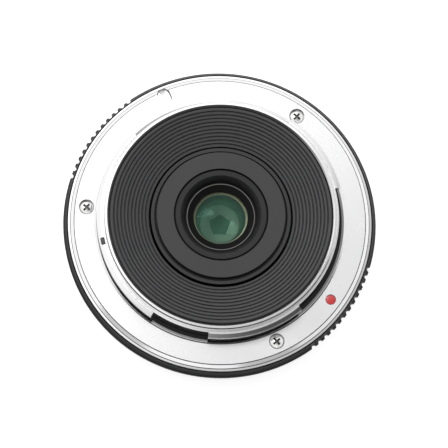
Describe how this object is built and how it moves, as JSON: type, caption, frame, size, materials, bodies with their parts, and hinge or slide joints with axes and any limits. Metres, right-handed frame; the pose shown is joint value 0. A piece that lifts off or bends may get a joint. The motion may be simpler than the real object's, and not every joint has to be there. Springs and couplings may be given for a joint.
{
  "type": "camera lens",
  "caption": "Slim manual-focus camera lens with a three-lug chrome bayonet, a ridged rear baffle, a knurled black barrel and a turning focus ring that slides the optics.",
  "frame": {"origin": "centre of the bayonet flange face, on the optical axis", "axes": "+Z along the optical axis towards the camera; the lens rests on its front rim at -Z; -Y points at the red index dot"},
  "size_m": [0.0624, 0.0624, 0.0205],
  "materials": {
    "chrome_mount": "polished chrome plate on brass",
    "screw_steel": "bright nickel-plated screws",
    "red_enamel": "red enamel fill",
    "dark_steel": "blackened steel",
    "black_seal": "deep black, light absorbing",
    "shim_steel": "ground sheet",
    "baffle_black": "matte black anodised, ridged",
    "barrel_black": "satin black anodised",
    "plate_black": "fine matte black anodised",
    "focus_black": "satin black anodised, turned",
    "cell_black": "matte black anodised",
    "inner_black": "dull black anodised",
    "cam_brass": "turned brass",
    "coated_glass": "coated optical glass, green reflections",
    "clear_glass": "optical glass"
  },
  "bodies": {
    "body": {"bayonet_mount": "chrome_mount", "mount_screws": "screw_steel", "index_dot": "red_enamel", "lug_stop_key": "dark_steel", "light_seal_ring": "black_seal", "mount_shim": "shim_steel", "rear_baffle": "baffle_black", "main_barrel": "barrel_black", "front_rim": "barrel_black", "face_plate": "plate_black", "guide_tube": "inner_black", "guide_tube_screws": "dark_steel", "cam_retainer": "inner_black", "cam_retainer_screws": "dark_steel", "stop_pin": "dark_steel", "friction_washer": "shim_steel"},
    "focus": {"cam_ring": "cam_brass", "focus_ring": "focus_black", "focus_ring_screws": "dark_steel", "focus_tab": "focus_black", "focus_tab_screws": "dark_steel"},
    "optics": {"lens_barrel": "inner_black", "cam_pins": "cam_brass", "rear_cell": "cell_black", "cone_ring": "cell_black", "rear_lens_ring": "cell_black", "rear_element": "coated_glass", "rear_spacer": "inner_black", "rear_doublet_crown": "clear_glass", "rear_doublet_flint": "clear_glass", "aperture_plate": "inner_black", "front_doublet_flint": "clear_glass", "front_doublet_crown": "clear_glass", "front_spacer": "inner_black", "front_element": "coated_glass", "front_retainer": "cell_black", "front_bezel": "focus_black"}
  },
  "joints": [
    {"name": "focus_turn", "type": "hinge", "parent": "body", "child": "focus", "pos_m": [0, 0, -0.0129], "axis": [0, 0, 1], "range_deg": [0, 90]},
    {"name": "optics_slide", "type": "slide", "parent": "body", "child": "optics", "axis": [0, 0, -1], "range_m": [0, 0.0012]}
  ],
  "couplings": [
    {"joint": "focus_turn", "follows": "optics_slide", "rad_per_m": 1309}
  ]
}
